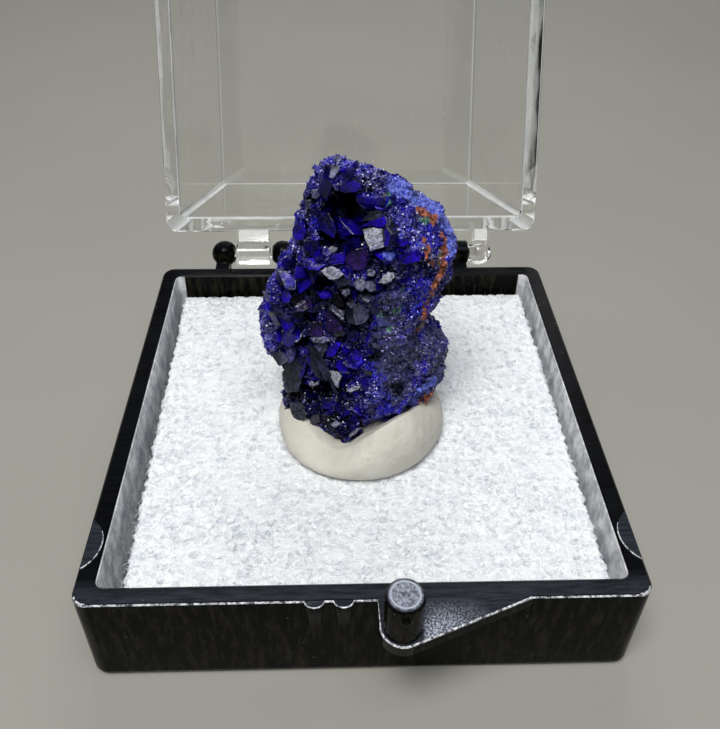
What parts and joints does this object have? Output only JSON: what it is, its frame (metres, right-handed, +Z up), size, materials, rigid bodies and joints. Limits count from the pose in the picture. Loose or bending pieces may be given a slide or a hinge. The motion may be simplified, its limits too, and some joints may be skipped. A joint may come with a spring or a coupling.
{
  "type": "azurite specimen in a display box",
  "caption": "Azurite crystal specimen pressed in putty on a foam pad, in a square black box with a hinged clear lid that lies open.",
  "frame": {"origin": "centre of the underside of the box", "axes": "+X to the right, +Y back to the hinges, +Z up; the thumb tab is at -Y"},
  "size_m": [0.057, 0.1304, 0.0747],
  "materials": {
    "black_plastic": "glossy moulded plastic with light rubbing marks",
    "clear_plastic": "clear, colourless, polished moulded plastic",
    "white_foam": "open-celled white foam, cut by hand",
    "cream_putty": "matt off-white putty",
    "azurite": "vitreous deep blue crystals with a sparkling crust, rusty limonite and green specks"
  },
  "bodies": {
    "box": {"box_base": "black_plastic", "foam_pad": "white_foam", "mineral_tack": "cream_putty", "azurite_specimen": "azurite"},
    "lid": {"box_lid": "clear_plastic"}
  },
  "joints": [
    {"name": "lid_hinge", "type": "hinge", "parent": "box", "child": "lid", "pos_m": [0, 0.0319, 0.0134], "axis": [1, 0, 0], "range_deg": [0, 113]}
  ]
}
